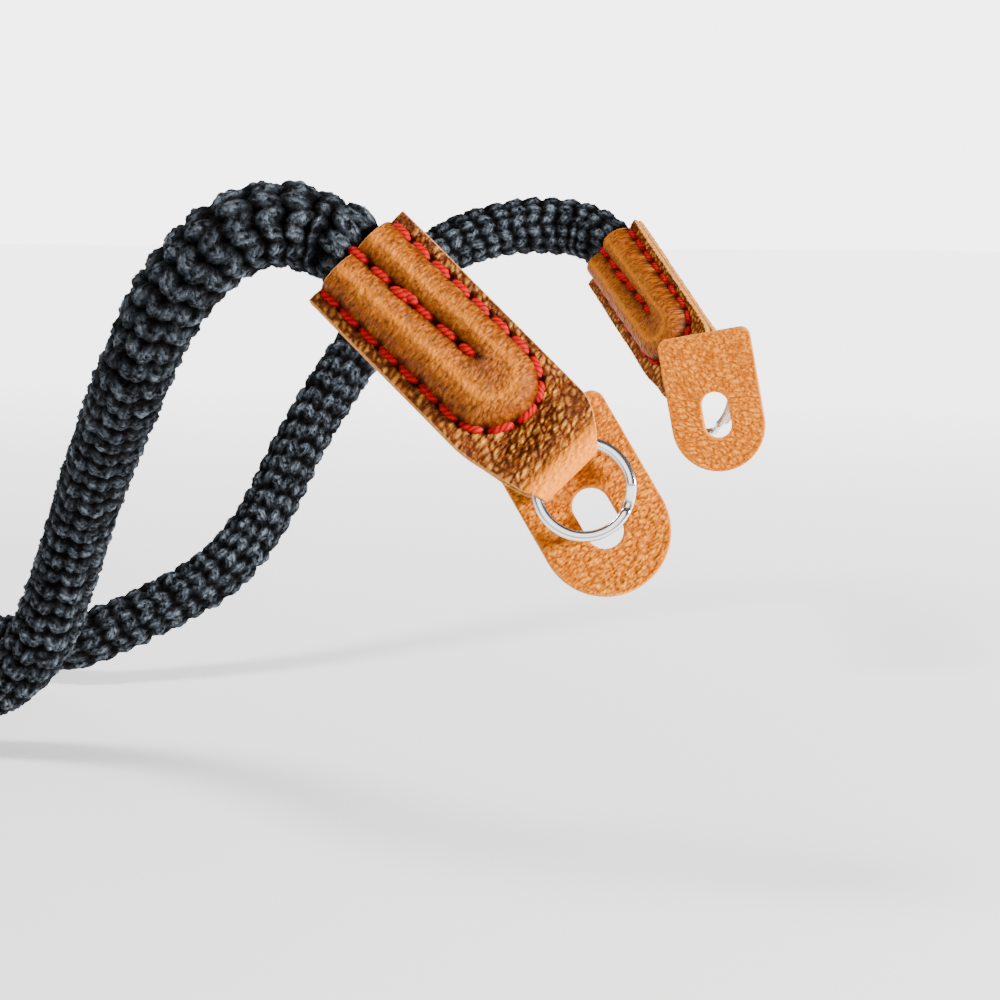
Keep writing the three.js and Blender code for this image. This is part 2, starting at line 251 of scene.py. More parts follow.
# Sizes of fuzz and clumps in mm, turns of the plies in radians for each mm of yarn
yarn = {
    "black": "010102", "mottleAndHighlight": "626a73", "fuzz": 0.4167, "clump": 1.1111, "plySlant": 1.3, "plyTurn": 3.1,
    "roughness": 0.85, "gloss": 0.06, "nap": 0.6,
}


# Soft-spun cotton yarn, dyed black and knitted: matt, with the plies of each leg and short fuzz over them, and a
# painted highlight on the tops of the legs.
# Real plies are about half as wide and too fine to show.
def cottonMaterial(knitted):
    material, tree, shader = newMaterial("black_knitted_cotton" if knitted else "black_cotton_plain")
    place = addNode(tree, "TexCoord", output="Object")
    fuzz = {"Vector": place, "Scale": 1 / (yarn["fuzz"] * mm), "Detail": 4.0, "Roughness": 0.7}
    fuzz = addNode(tree, "TexNoise", fuzz)
    clump = {"Vector": place, "Scale": 1 / (yarn["clump"] * mm), "Detail": 3.0, "Roughness": 0.6}
    clump = addNode(tree, "TexNoise", clump)
    height = addNode(tree, "Math", (clump, 1.6), operation="MULTIPLY")
    height = addNode(tree, "Math", (fuzz, 0.8, height), operation="MULTIPLY_ADD")
    light = addNode(tree, "Math", (clump, 0.38), operation="SUBTRACT", use_clamp=True)
    if knitted:
        strand = addNode(tree, "Attribute", output="Vector", attribute_name="strand")
        strand = addNode(tree, "SeparateXYZ", (strand,)).node.outputs
        phase = addNode(tree, "Math", (strand[0], yarn["plySlant"], strand[2]), operation="MULTIPLY_ADD")
        phase = addNode(tree, "Math", (strand[1], yarn["plyTurn"], phase), operation="MULTIPLY_ADD")
        phase = addNode(tree, "Math", (clump, 6.0, phase), operation="MULTIPLY_ADD")
        plies = addNode(tree, "Math", (phase,), operation="SINE")
        plies = addNode(tree, "Math", (plies,), operation="ABSOLUTE")
        height = addNode(tree, "Math", (plies, 0.6, height), operation="MULTIPLY_ADD")
        # Painted highlight: the paler colour lies on the tops of the legs only, and the gaps between them stay dark as
        # painted shade
        depth = addNode(tree, "Attribute", output="Fac", attribute_name="depth")
        tops = addNode(tree, "Math", (depth, 4.0), operation="POWER")
        softened = addNode(tree, "Math", (plies, 0.6, 0.4), operation="MULTIPLY_ADD")
        for share in (4.5, tops, softened):
            light = addNode(tree, "Math", (light, share), operation="MULTIPLY")
    # Black with a paler random mottle; on the knitted yarn the paler colour is also the painted highlight on the leg
    # tops
    colour = {0: light, 6: linear(yarn["black"]), 7: linear(yarn["mottleAndHighlight"])}
    setInputs(tree, shader, {
        "Base Color": addNode(tree, "Mix", colour, data_type="RGBA"), "Roughness": yarn["roughness"],
        "Specular IOR Level": yarn["gloss"],
        "Normal": addNode(tree, "Bump", {"Height": height, "Strength": 1.0, "Distance": yarn["nap"] * mm}),
    })
    return material


# Smooth line through the route, with the arc length at each point
def ropeLine():
    near, far = ends["near"], ends["far"]

    def out(end, distance):
        return end["mouth"] + end["axes"][1] * distance

    points = [
        out(near, rope["startsAt"]), out(near, rope["straightTo"]), *map(np.array, ropeRoute),
        out(far, rope["straightTo"]), out(far, rope["startsAt"]),
    ]
    points = np.array(points, float)
    gaps = np.sqrt(np.linalg.norm(np.diff(points, axis=0), axis=1))
    knots = np.concatenate([[0], np.cumsum(gaps)])
    points = np.vstack([2 * points[0] - points[1], points, 2 * points[-1] - points[-2]])
    knots = np.concatenate([[-gaps[0]], knots, [knots[-1] + gaps[-1]]])
    line = []
    for i in range(1, len(points) - 2):
        p, k = points[i - 1:i + 3], knots[i - 1:i + 3]
        x = np.linspace(k[1], k[2], rope["curvePoints"], endpoint=False)[:, None]

        def blend(a, b, low, high):
            return ((high - x) * a + (x - low) * b) / (high - low)

        first = [blend(p[j], p[j + 1], k[j], k[j + 1]) for j in range(3)]
        second = [blend(first[j], first[j + 1], k[j], k[j + 2]) for j in range(2)]
        line.append(blend(second[0], second[1], k[1], k[2]))
    line = np.vstack([out(near, -rope["insideMouth"]), *line, points[-2], out(far, -rope["insideMouth"])])
    return line, np.concatenate([[0], np.cumsum(np.linalg.norm(np.diff(line, axis=0), axis=1))])


# Height from 0 to 1 of knitted yarn at places along and around the rope, and the place on its leg
def knit(along, around, rng):
    walePitch = 2 * math.pi * yarnRadius / rope["wales"]
    tilt = math.radians(rope["legTilt"])
    count = int(along.max() / rope["rowPitch"] + 8) * rope["wales"] * 2
    chance = rng.random((4, count))
    height = np.full(along.shape, -1.0)
    strand = np.zeros(along.shape + (3,))
    nearest = np.round(around / walePitch)
    for waleStep in (-1, 0, 1):
        wale = nearest + waleStep
        row = np.round(along / rope["rowPitch"] - wale / rope["wales"])
        for rowStep in (-1, 0, 1):
            for side in (-1, 1):
                leg = (((row + rowStep) * rope["wales"] + wale) * 2 + (side > 0)).astype(int) + 4 * rope["wales"]
                # No two legs are alike in place, width, height and turn
                shift, wide, tall, turn = (chance[k][np.clip(leg, 0, count - 1)] for k in range(4))
                x = along - (row + rowStep + wale / rope["wales"]) * rope["rowPitch"] - (shift - 0.5) * rope["legShift"]
                y = around - wale * walePitch - side * rope["legOut"]
                angle = side * (tilt + (turn - 0.5) * rope["legTurn"])
                a = x * np.cos(angle) - y * np.sin(angle)
                b = x * np.sin(angle) + y * np.cos(angle)
                reach = (a / rope["legLength"]) ** 2 + (b / (rope["legWidth"] * (0.88 + 0.24 * wide))) ** 2
                dome = np.sqrt(np.clip(1 - reach, 0, None)) * (0.86 + 0.22 * tall)
                dome = np.where(reach < 1, dome + rope["legRise"] * a / rope["legLength"], -1)
                higher = dome > height
                height = np.where(higher, dome, height)
                here = np.stack([a, b, np.broadcast_to(turn * 6, a.shape)], axis=-1)
                strand = np.where(higher[..., None], here, strand)
    return np.clip(height, 0, 1.15), strand


def addRope(material):
    line, lengths = ropeLine()
    total = lengths[-1]
    places = np.concatenate([
        np.arange(0, rope["visibleNear"], rope["nearStep"]),
        np.arange(rope["visibleNear"], total - rope["visibleFar"], rope["hiddenStep"]),
        np.arange(total - rope["visibleFar"], total, rope["farStep"]), [total],
    ])
    ahead, centres, behind = (
        np.stack([np.interp(places + step, lengths, line[:, k]) for k in range(3)], axis=1) for step in (0.8, 0, -0.8)
    )
    tangents = ahead - behind
    tangents /= np.linalg.norm(tangents, axis=1)[:, None]
    # Frames carried along without turning, then turned evenly to meet the far end's
    sides = [ends["near"]["axes"][0]]
    for tangent in tangents[1:]:
        side = sides[-1] - tangent * (sides[-1] @ tangent)
        sides.append(side / np.linalg.norm(side))
    sides = np.array(sides)
    ups = np.cross(tangents, sides)
    wanted = ends["far"]["axes"][0]
    turn = math.atan2(wanted @ ups[-1], wanted @ sides[-1]) * places / total
    angles = np.arange(rope["sides"]) * 2 * math.pi / rope["sides"]
    phi = angles[None, :] + turn[:, None]
    spokes = np.cos(phi)[..., None] * sides[:, None, :] + np.sin(phi)[..., None] * ups[:, None, :]

    fromMouth = np.minimum(places, total - places)[:, None]
    spun = angles[None, :] + 2 * math.pi * rope["twistTurns"] * (places / total)[:, None]
    around = spun % (2 * math.pi) * yarnRadius
    height, strand = knit(places[:, None] + 0 * around, around, np.random.default_rng(rope["seed"]))
    lump = 2 * math.pi * yarnRadius / rope["lumpsRound"]
    lumps = cells(places[:, None] / lump, around / lump, rope["seed"], rope["lumpsRound"])
    knots = height * (0.84 + 0.28 * smooth(0, 0.8, lumps))
    # Fullest in the arch outside the leather, and never quite even
    swell = 0.965 + 0.07 * np.exp(-((fromMouth - 22) / 20) ** 2)
    wander = 1 + 0.012 * np.sin(places[:, None] / 9.0) + 0.01 * np.sin(places[:, None] / 3.7 + 2 * angles[None, :])
    # Pressed flat where it is squeezed on the inside of a bend
    bends = np.gradient(tangents, places, axis=0)
    inside = yarnRadius * np.sum(bends[:, None, :] * spokes, axis=-1)
    squeeze = np.clip(1 - rope["squeeze"] * inside, rope["flattest"], 1)
    radius = (rope["gapRadius"] + rope["relief"] * (1 + (knots - 1) * squeeze)) * swell * wander
    # Squeezed into two lobes where it goes into the leather
    lobes = 1 - 0.2 * np.abs(np.sin(angles)) ** 8
    lobes = lobes / np.hypot(np.cos(angles) / rope["lobeWidth"], np.sin(angles) / rope["lobeHeight"])
    lobes = lobes[None, :] + 0.75 * rope["relief"] * (knots - 0.8)
    radius = mix(lobes, radius, smooth(0.6, rope["lobesEnd"], fromMouth))

    points = (centres[:, None, :] + radius[..., None] * spokes).reshape(-1, 3)
    columns = rope["sides"]
    faces = gridFaces(len(places), columns, True).tolist()
    faces.append(list(range(columns))[::-1])
    faces.append([(len(places) - 1) * columns + k for k in range(columns)])
    piece = addMesh("rope_knit", points, faces, material, {"strand": strand.reshape(-1, 3), "depth": height.ravel()})
    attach(piece, "root")
    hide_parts("rope")
    print("rope", round(total), "mm,", len(places), "rows of points")


# Two dyes of one hide: tan for the ends, orange for the patches, each with colours for painted highlight and painted
# shade. Pebble and grain depth in mm.
tanHide = {
    "light": "944600", "deep": "3c1300", "gold": "a25a00", "paintedHighlight": "dc9a3c", "stretched": "dc7a00", "paintedShadeColour": "2a0d03",
    "cutEdge": "b87a3c", "pebble": 0.42, "mottle": 1.0, "wrinkleShade": 0.6, "grain": 0.4, "gloss": 0.1,
}
orangeHide = {
    "light": "d07200", "deep": "863c00", "gold": "d07200", "paintedHighlight": "e69a34", "stretched": "d07200", "paintedShadeColour": "5a2506",
    "cutEdge": "d08c48", "pebble": 0.36, "mottle": 0.6, "wrinkleShade": 0.6, "grain": 0.3, "gloss": 0.05,
}
hidePatterns = {"pore": 0.2222, "cloud": 1.8182, "speck": 0.5882}  # widths in mm


# Vegetable-tanned, full-grain cowhide, drum-dyed and waxed: wrinkled where it is slack, with painted shade in the
# wrinkles, seams and needle holes and painted highlights on the tops between wrinkles; smooth and golden where it is
# stretched, paler and dull where it is cut, with a soft, low gloss.
# The leather's own place in mm drives the grain, so that it follows the fold.
def leatherMaterial(name, look):
    material, tree, shader = newMaterial(name)
    place = addNode(tree, "Attribute", output="Vector", attribute_name="strip")
    bend = addNode(tree, "TexNoise", {"Vector": place, "Scale": 0.9 / look["pebble"], "Detail": 2.0}, "Color")
    bent = addNode(tree, "Mix", {0: 0.35 * look["pebble"], 4: place, 5: bend}, data_type="VECTOR")
    drawn = addNode(tree, "VectorMath", (bent, (0.7, 1.25, 1.0)), operation="MULTIPLY")
    pebble = {"Vector": drawn, "Scale": 1 / look["pebble"], "Randomness": 1.0}
    pebble = addNode(tree, "TexVoronoi", pebble, feature="SMOOTH_F1")
    pebble = addNode(tree, "MapRange", (pebble, 0.15, 0.7, 1.0, 0.0))
    pores = addNode(tree, "TexNoise", {"Vector": place, "Scale": 1 / hidePatterns["pore"], "Detail": 4.0})
    cloud = {"Vector": place, "Scale": 1 / hidePatterns["cloud"], "Detail": 5.0, "Roughness": 0.75}
    cloud = addNode(tree, "MapRange", (addNode(tree, "TexNoise", cloud), 0.42, 0.66, 0.0, 0.75))
    speck = {"Vector": drawn, "Scale": 1 / hidePatterns["speck"], "Detail": 4.0, "Roughness": 0.65}
    speck = addNode(tree, "MapRange", (addNode(tree, "TexNoise", speck), 0.46, 0.62, 0.0, 0.8))

    keys = ("taut", "paintedHighlight", "paintedWrinkleShade", "paintedShade", "cut")
    taut, paintedHighlight, paintedWrinkleShade, paintedShade, cut = (addNode(tree, "Attribute", output="Fac", attribute_name=key) for key in keys)
    tone = addNode(tree, "Math", (cloud, speck), operation="MAXIMUM")
    tone = addNode(tree, "Math", (tone, look["mottle"]), operation="MULTIPLY")
    clear = addNode(tree, "Math", (1.0, tone), operation="SUBTRACT")
    between = addNode(tree, "Math", (1.0, pebble), operation="SUBTRACT")
    highlightShare = addNode(tree, "Math", (clear, 0.5, 0.25), operation="MULTIPLY_ADD")
    # Each colour is laid over those before it, by its share: mottle, grain, gold, painted highlight, stretched tan,
    # painted shade and the cut edge
    colour = linear(look["light"])
    for share, layerColour in (
        (tone, "deep"),
        (addNode(tree, "Math", (between, 0.65), operation="MULTIPLY"), "deep"),
        (addNode(tree, "Math", (taut, clear), operation="MULTIPLY", use_clamp=True), "gold"),
        # Painted highlight: the pale colour on the tops between the wrinkles
        (addNode(tree, "Math", (paintedHighlight, highlightShare), operation="MULTIPLY"), "paintedHighlight"),
        (addNode(tree, "MapRange", (taut, 0.75, 1.0, 0.0, 0.8)), "stretched"),
        # Painted shade: dark in the creases of the wrinkles, and in the seams, needle holes, middle groove and over the
        # right margin
        (addNode(tree, "Math", (paintedWrinkleShade, look["wrinkleShade"]), operation="MULTIPLY"), "paintedShadeColour"),
        (addNode(tree, "Math", (paintedShade, 0.92), operation="MULTIPLY"), "paintedShadeColour"),
        (cut, "cutEdge"),
    ):
        colour = addNode(tree, "Mix", {0: share, 6: colour, 7: linear(look[layerColour])}, data_type="RGBA")

    height = addNode(tree, "Math", (pores, 0.5, pebble), operation="MULTIPLY_ADD")
    flattened = addNode(tree, "Math", (taut, -0.3, 1.0), operation="MULTIPLY_ADD")
    height = addNode(tree, "Math", (height, flattened), operation="MULTIPLY")
    roughness = addNode(tree, "Math", (pores, 0.3, 0.32), operation="MULTIPLY_ADD")
    roughness = addNode(tree, "Math", (cut, 0.35, roughness), operation="MULTIPLY_ADD", use_clamp=True)
    setInputs(tree, shader, {
        "Base Color": colour, "Roughness": roughness, "Specular IOR Level": look["gloss"],
        "Normal": addNode(tree, "Bump", {"Height": height, "Strength": 0.7, "Distance": look["grain"] * mm}),
    })
    return material


stitch = {
    "seamOut": 6.95, "pitch": 3.95, "firstAt": 0.47, "length": 3.25, "width": 1.65, "height": 1.25,
    "grooveDepth": 0.55, "grooveWidth": 0.65, "holeDepth": 0.35, "holeSpread": 0.3, "sides": 12, "steps": 15,
    "middlePlaces": (0.7, 5.0, 9.6, 13.1, 17.5, 21.8), "doubled": 9.6,
    "red": "9c0100", "plyShadeRed": "600000", "plySlant": 4.2, "plyTurn": 2.0, "roughness": 0.55, "gloss": 0.08,
    "plyDepth": 0.15,
}


# Heights of the sewn leather over the plane where its layers meet; u from the mouth, v from the middle
def outFromMiddle(u, v):
    return np.where(u > seamTurn, np.hypot(u - seamTurn, v), np.abs(v))


def ridge(u, v, reach, sharpness):
    middle = leatherEnd["pouchWidth"] / 4
    out = outFromMiddle(u, v)
    dome = leatherEnd["ridgeHeight"] * np.clip(1 - ((out - middle) / reach) ** 2, 0, None) ** sharpness
    groove = smooth(0, leatherEnd["grooveFade"], leatherEnd["grooveLength"] - u)
    between = mix(leatherEnd["ridgeHeight"], np.maximum(dome, leatherEnd["grooveHeight"]), groove)
    return np.where(out > middle, dome, between)


def layerOpening(u):
    wireReach = foldStraight + foldCentre - splitRing["diameter"] / 2 - leatherEnd["wireClearance"]
    sealed = leatherEnd["pouchLength"] + leatherEnd["sealWidth"]
    return mix(leatherEnd["layerGap"] / 2, foldInner, smooth(sealed, wireReach, u))


# Middle of the strip to an edge, which curves in towards the fold over the length taper
def halfWidth(u, taper):
    share = np.clip((u - leatherEnd["length"] + taper) / taper, 0, 1)
    return mix(leatherEnd["neckWidth"], leatherEnd["width"], np.cos(share * math.pi / 2)) / 2


# The sewn form runs a little to the right
def acrossAt(u, v):
    shape = leatherEnd
    sewn = smooth(0, foldStraight - shape["pouchLength"], foldStraight - u)
    margin = (shape["width"] - shape["pouchWidth"] - shape["wall"] / 2) / 2
    inPouch = np.clip((shape["width"] / 2 - np.abs(v)) / margin, 0, 1)
    inGroove = np.clip(1 - np.abs(v) / (shape["pouchWidth"] / 2), 0, None)
    pouch = shape["pouchDrift"] * smooth(0, shape["pouchLength"], u) * inPouch
    groove = shape["grooveDrift"] * np.clip(u / shape["grooveLength"], 0, 1) * inGroove
    return v + sewn * (shape["slide"] + pouch + groove)


# Stitches of one face as (middle u, middle v, direction u, direction v)
def seamStitches():
    out = stitch["seamOut"]
    run = 2 * seamTurn + math.pi * out
    count = round(run / stitch["pitch"])
    found = []
    for k in range(count):
        place = (k + stitch["firstAt"]) * run / count
        if place < seamTurn:
            found.append((place, -out, 1, 0))
        elif place > run - seamTurn:
            found.append((run - place, out, -1, 0))
        else:
            angle = (place - seamTurn) / out
            found.append((seamTurn + out * math.sin(angle), -out * math.cos(angle), math.cos(angle), math.sin(angle)))
    for place in stitch["middlePlaces"]:
        # One is sewn twice, side by side
        offsets = (-0.5, 0.5) if place == stitch["doubled"] else (0,)
        found += [(place + 1.1 * offset, 0.6 * offset, 1, 0.1) for offset in offsets]
    return found


# About 1 at each needle hole, fading out over half a millimetre
def needleHoles(u, v):
    holes = 0 * (u + v)
    for su, sv, du, dv in seamStitches():
        for reach in (-0.5 * stitch["length"], 0.5 * stitch["length"]):
            away = (u - su - reach * du) ** 2 + (v - sv - reach * dv) ** 2
            holes = holes + np.exp(-away / stitch["holeSpread"])
    return np.minimum(holes, 1.1)


# Wrinkles across the strip: how deep in a crease, and how far up between creases, from 0 to 1
def wrinkles(u, v):
    lean = math.radians(leatherEnd["wrinkleLean"])
    bent = v + 0.35 * np.sin(1.1 * u) + 0.2 * np.sin(2.3 * v + u)
    long = (bent * math.cos(lean) - u * math.sin(lean)) / leatherEnd["wrinkleLength"]
    short = (bent * math.sin(lean) + u * math.cos(lean)) / leatherEnd["wrinklePitch"]
    apart = cells(long + 20, short + 20, leatherEnd["seed"])
    return 1 - smooth(0.0, 0.34, apart), smooth(0.22, 0.75, apart)


# 1 where the leather is slack, near 0 on the filled pouch and at the fold
def slackness(u, v):
    pouch = 1 - smooth(-0.9, 0.2, outFromMiddle(u, v) - stitch["seamOut"])
    return (1 - 0.86 * pouch) * (1 - smooth(39.5, 42, u))


def outerHeight(u, v):
    shape = leatherEnd
    height = layerOpening(u) + shape["wall"] + ridge(u, v, shape["pouchWidth"] / 4 + shape["wall"] / 4, 0.55)
    fromSeam = outFromMiddle(u, v) - stitch["seamOut"]
    height = height - stitch["grooveDepth"] * np.exp(-(fromSeam / stitch["grooveWidth"]) ** 2) * smooth(-0.5, 1, u)
    height = height - stitch["holeDepth"] * needleHoles(u, v)
    height = height - shape["wrinkleDepth"] * (wrinkles(u, v)[0] - 0.3) * slackness(u, v)
    # The leather puffs up between the stitches, and is never quite flat
    pucker = np.exp(-((fromSeam - 1.2) / 0.6) ** 2) + np.exp(-((fromSeam + 1.1) / 0.8) ** 2)
    pucker = pucker * np.cos(2 * math.pi * u / stitch["pitch"]) * smooth(1, 3, u)
    slow = np.sin(u * 0.31 + v * 0.23) * np.sin(v * 0.42 - u * 0.12 + 1.7)
    fine = np.sin(u * 1.3 + 0.8 * np.sin(v * 0.9)) * np.sin(v * 1.1 + 0.5 * u)
    return height + shape["puckerHeight"] * pucker + shape["slowSwell"] * slow + shape["fineSwell"] * fine


def innerHeight(u, v):
    return layerOpening(u) + ridge(u, v, leatherEnd["pouchWidth"] / 4 - leatherEnd["wall"] / 4, 0.5)


def addLeather(name, material):
    end = ends[name]
    shape = leatherEnd
    # Places across from edge to edge and along from mouth to bend, closer together at the rounded edges
    rounding = 1 - 0.034 * np.array((0.72, 0.42, 0.18, 0.04, 0))
    sideShares = np.concatenate([np.linspace(0, 0.965, shape["acrossCount"]), rounding])
    shares = np.concatenate([-sideShares[:0:-1], sideShares])
    stations = np.concatenate([[0, 0.03, 0.1, 0.2, 0.32], np.linspace(0.6, foldStraight, shape["alongCount"])])

    def edges(u):
        return np.where(shares < 0, halfWidth(u, shape["leftTaper"]), halfWidth(u, shape["rightTaper"]))

    # One layer, from the mouth to the bend
    u = stations[:, None]
    half = edges(u)
    v = shares * half
    x = acrossAt(u, v)
    drop = edgeDrop(half - np.abs(v), shape["edgeRound"])
    top = outerHeight(u, v) - drop - edgeDrop(u, shape["edgeRound"])
    under = innerHeight(u, v) + 0.5 * drop
    out = outFromMiddle(u, v)
    fromSeam = out - stitch["seamOut"]
    # Painted shade: darker in the middle groove, along the seam grooves and in the needle holes
    valley = np.exp(-(v / 0.85) ** 2) * smooth(0, 2, shape["grooveLength"] - u)
    seam = 0.5 * np.exp(-(fromSeam / 0.5) ** 2) + needleHoles(u, v)
    creases, between = wrinkles(u, v)
    # Painted shade: the right margin is darkened
    rightMarginShade = 0.2 * smooth(0, 0.6, fromSeam) * (v > 0) * (1 - smooth(20, 34, u))
    tops = 0.85 * np.exp(-((out - shape["pouchWidth"] / 4) / 1.9) ** 2) * (1 - smooth(31, 34, u))
    flat = {
        "paintedShade": np.clip(seam + 0.85 * valley + rightMarginShade, 0, 1),
        # Painted shade in the creases of the wrinkles
        "paintedWrinkleShade": creases * slackness(u, v),
        # Painted highlight on the tops between the wrinkles, where the leather is slack
        "paintedHighlight": between * slackness(u, v),
        "taut": np.clip(smooth(39, 42, u) + tops, 0, 1),
    }
    # Round the bend, where it is waisted to clear the ring's hole
    angle = np.linspace(0, math.pi, 25)[1:-1, None]
    bendEdges = edges(foldStraight + foldOuter * np.sin(angle))
    level = np.abs(foldInner * np.cos(angle))
    waist = mix(shape["tipWidth"], shape["foldWidth"], smooth(0, ringHalfHeight, level)) / 2
    clear = smooth(ringHalfHeight + shape["ringPlay"] / 4, foldInner, level)
    bendDrop = edgeDrop(bendEdges * (1 - np.abs(shares)), shape["edgeRound"])

    def bend(halves, radius):
        return np.stack([shares * halves, foldCentre - radius * np.sin(angle), radius * np.cos(angle)], axis=-1)

    def layer(height, side):
        return np.stack([x, mouthAt - u + 0 * v, side * height], axis=-1)

    outer = np.concatenate([layer(top, 1), bend(bendEdges, foldOuter - bendDrop), layer(top, -1)[::-1]])
    inner = np.concatenate([
        layer(under, 1), bend(mix(waist, bendEdges, clear), foldInner + 0.5 * bendDrop), layer(under, -1)[::-1],
    ])
    travel = np.concatenate([
        stations, foldStraight + foldOuter * angle[:, 0], 2 * foldStraight + math.pi * foldOuter - stations[::-1],
    ])
    rows, columns = outer.shape[:2]
    outerCount = rows * columns
    strip = np.stack([outer[..., 0], np.broadcast_to(travel[:, None], (rows, columns)), 0 * outer[..., 0]], axis=-1)
    strip = strip.reshape(-1, 3)
    looks = {"strip": np.concatenate([strip, strip])}
    for key, values in flat.items():
        onBend = np.full((len(angle), columns), 1.0 if key == "taut" else 0.0)
        whole = np.concatenate([values, onBend, values[::-1]])
        looks[key] = np.concatenate([whole.ravel(), np.zeros(outerCount)])
    isEdge = np.broadcast_to(np.abs(shares) > 0.985, (rows, columns)).astype(float)
    isEdge[:3] = 1
    isEdge[-3:] = 1
    looks["cut"] = np.concatenate([0.85 * isEdge.ravel(), np.ones(outerCount)])

    # Outside, inside, and the cut edges between them
    outside = gridFaces(rows, columns, False)
    faces = [*outside.tolist(), *(outside[:, ::-1] + outerCount).tolist()]
    low = np.arange(rows - 1) * columns
    across = np.arange(columns - 1)
    for first, step, flip in (
        (low, columns, False), (low + columns - 1, columns, True),
        (across, 1, True), (across + (rows - 1) * columns, 1, False),
    ):
        wall = np.stack([first, first + step, first + step + outerCount, first + outerCount], axis=1)
        faces += (wall[:, ::-1] if flip else wall).tolist()
    local = np.concatenate([outer.reshape(-1, 3), inner.reshape(-1, 3)])
    piece = addMesh("leather_" + name, end["ringCentre"] + local @ end["axes"], faces, material, looks)
    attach(piece, "root")
    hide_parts("leather_end_" + name)


# Three-ply linen thread, dyed and drawn through wax: red, darkened to painted shade between the plies, with a dull
# shine on them
def threadMaterial():
    material, tree, shader = newMaterial("red_waxed_thread")
    twine = addNode(tree, "Attribute", output="Vector", attribute_name="twine")
    twine = addNode(tree, "SeparateXYZ", (twine,)).node.outputs
    turn = addNode(tree, "Math", (twine[1], stitch["plyTurn"]), operation="MULTIPLY")
    turn = addNode(tree, "Math", (twine[0], stitch["plySlant"], turn), operation="MULTIPLY_ADD")
    plies = addNode(tree, "Math", (turn,), operation="SINE")
    plies = addNode(tree, "Math", (plies,), operation="ABSOLUTE")
    # Painted shade: the deeper red lies between the plies
    colour = {0: plies, 6: linear(stitch["plyShadeRed"]), 7: linear(stitch["red"])}
    setInputs(tree, shader, {
        "Base Color": addNode(tree, "Mix", colour, data_type="RGBA"), "Roughness": stitch["roughness"],
        "Specular IOR Level": stitch["gloss"],
        "Normal": addNode(tree, "Bump", {"Height": plies, "Strength": 0.45, "Distance": stitch["plyDepth"] * mm}),
    })
    return material


# Each stitch is a short plump thread that dives into its two holes, on both faces
def addStitches(name, material):
    end = ends[name]
    sides, steps = stitch["sides"], stitch["steps"]
    points, faces, twine = [], [], []
    along = np.linspace(-1, 1, steps)
    angles = np.arange(sides) * 2 * math.pi / sides
    place = np.broadcast_to((along * stitch["length"] / 2)[:, None], (steps, sides))
    for side in (1, -1):
        for su, sv, du, dv in seamStitches():
            length = math.hypot(du, dv)
            du, dv = du / length, dv / length
            u = su + along * du * stitch["length"] / 2
            v = sv + along * dv * stitch["length"] / 2
            inward = slice(steps // 4, -(steps // 4))
            level = np.mean(outerHeight(np.maximum(u, 0.2), v)[inward])
            lift = stitch["height"] * (0.42 - 1.0 * np.abs(along) ** 5)
            line = np.stack([acrossAt(u, v), mouthAt - u, side * (level + lift)], axis=1)
            tangent = np.gradient(line, axis=0)
            tangent /= np.linalg.norm(tangent, axis=1)[:, None]
            first = np.array((du, dv, 0.0))
            first = first - tangent * (tangent @ first)[:, None]
            first /= np.linalg.norm(first, axis=1)[:, None]
            second = np.cross(tangent, first)
            fat = 1 - 0.5 * np.abs(along) ** 3.5
            twist = 1 + 0.07 * np.cos(3 * angles[None, :] + stitch["plySlant"] * place)
            around = (
                stitch["width"] / 2 * np.cos(angles)[None, :, None] * first[:, None, :]
                + stitch["height"] / 2 * np.sin(angles)[None, :, None] * second[:, None, :]
            )
            start = len(points) * sides * steps
            faces += (gridFaces(steps, sides, True) + start).tolist()
            faces.append([start + k for k in range(sides)][::-1])
            faces.append([start + (steps - 1) * sides + k for k in range(sides)])
            points.append((line[:, None, :] + (fat[:, None] * twist)[..., None] * around).reshape(-1, 3))
            twine.append(np.stack([place, np.broadcast_to(angles, (steps, sides)), 0 * place], axis=-1).reshape(-1, 3))
    world = end["ringCentre"] + np.concatenate(points) @ end["axes"]
    piece = addMesh("stitches_" + name, world, faces, material, {"twine": np.concatenate(twine)})
    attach(piece, "root")


# Spring steel wire, nickel plated and polished: a bright mirror of almost no colour, with slight smears of handling
def nickelMaterial():
    material, tree, shader = newMaterial("polished_nickel")
    place = addNode(tree, "TexCoord", output="Object")
    smear = addNode(tree, "TexNoise", {"Vector": place, "Scale": 1 / (splitRing["smear"] * mm), "Detail": 3.0})
    roughness = (smear, splitRing["smearRoughness"], splitRing["roughness"])
    setInputs(tree, shader, {
        "Base Color": linear(splitRing["nickel"]), "Metallic": 1.0,
        "Roughness": addNode(tree, "Math", roughness, operation="MULTIPLY_ADD"),
    })
    return material


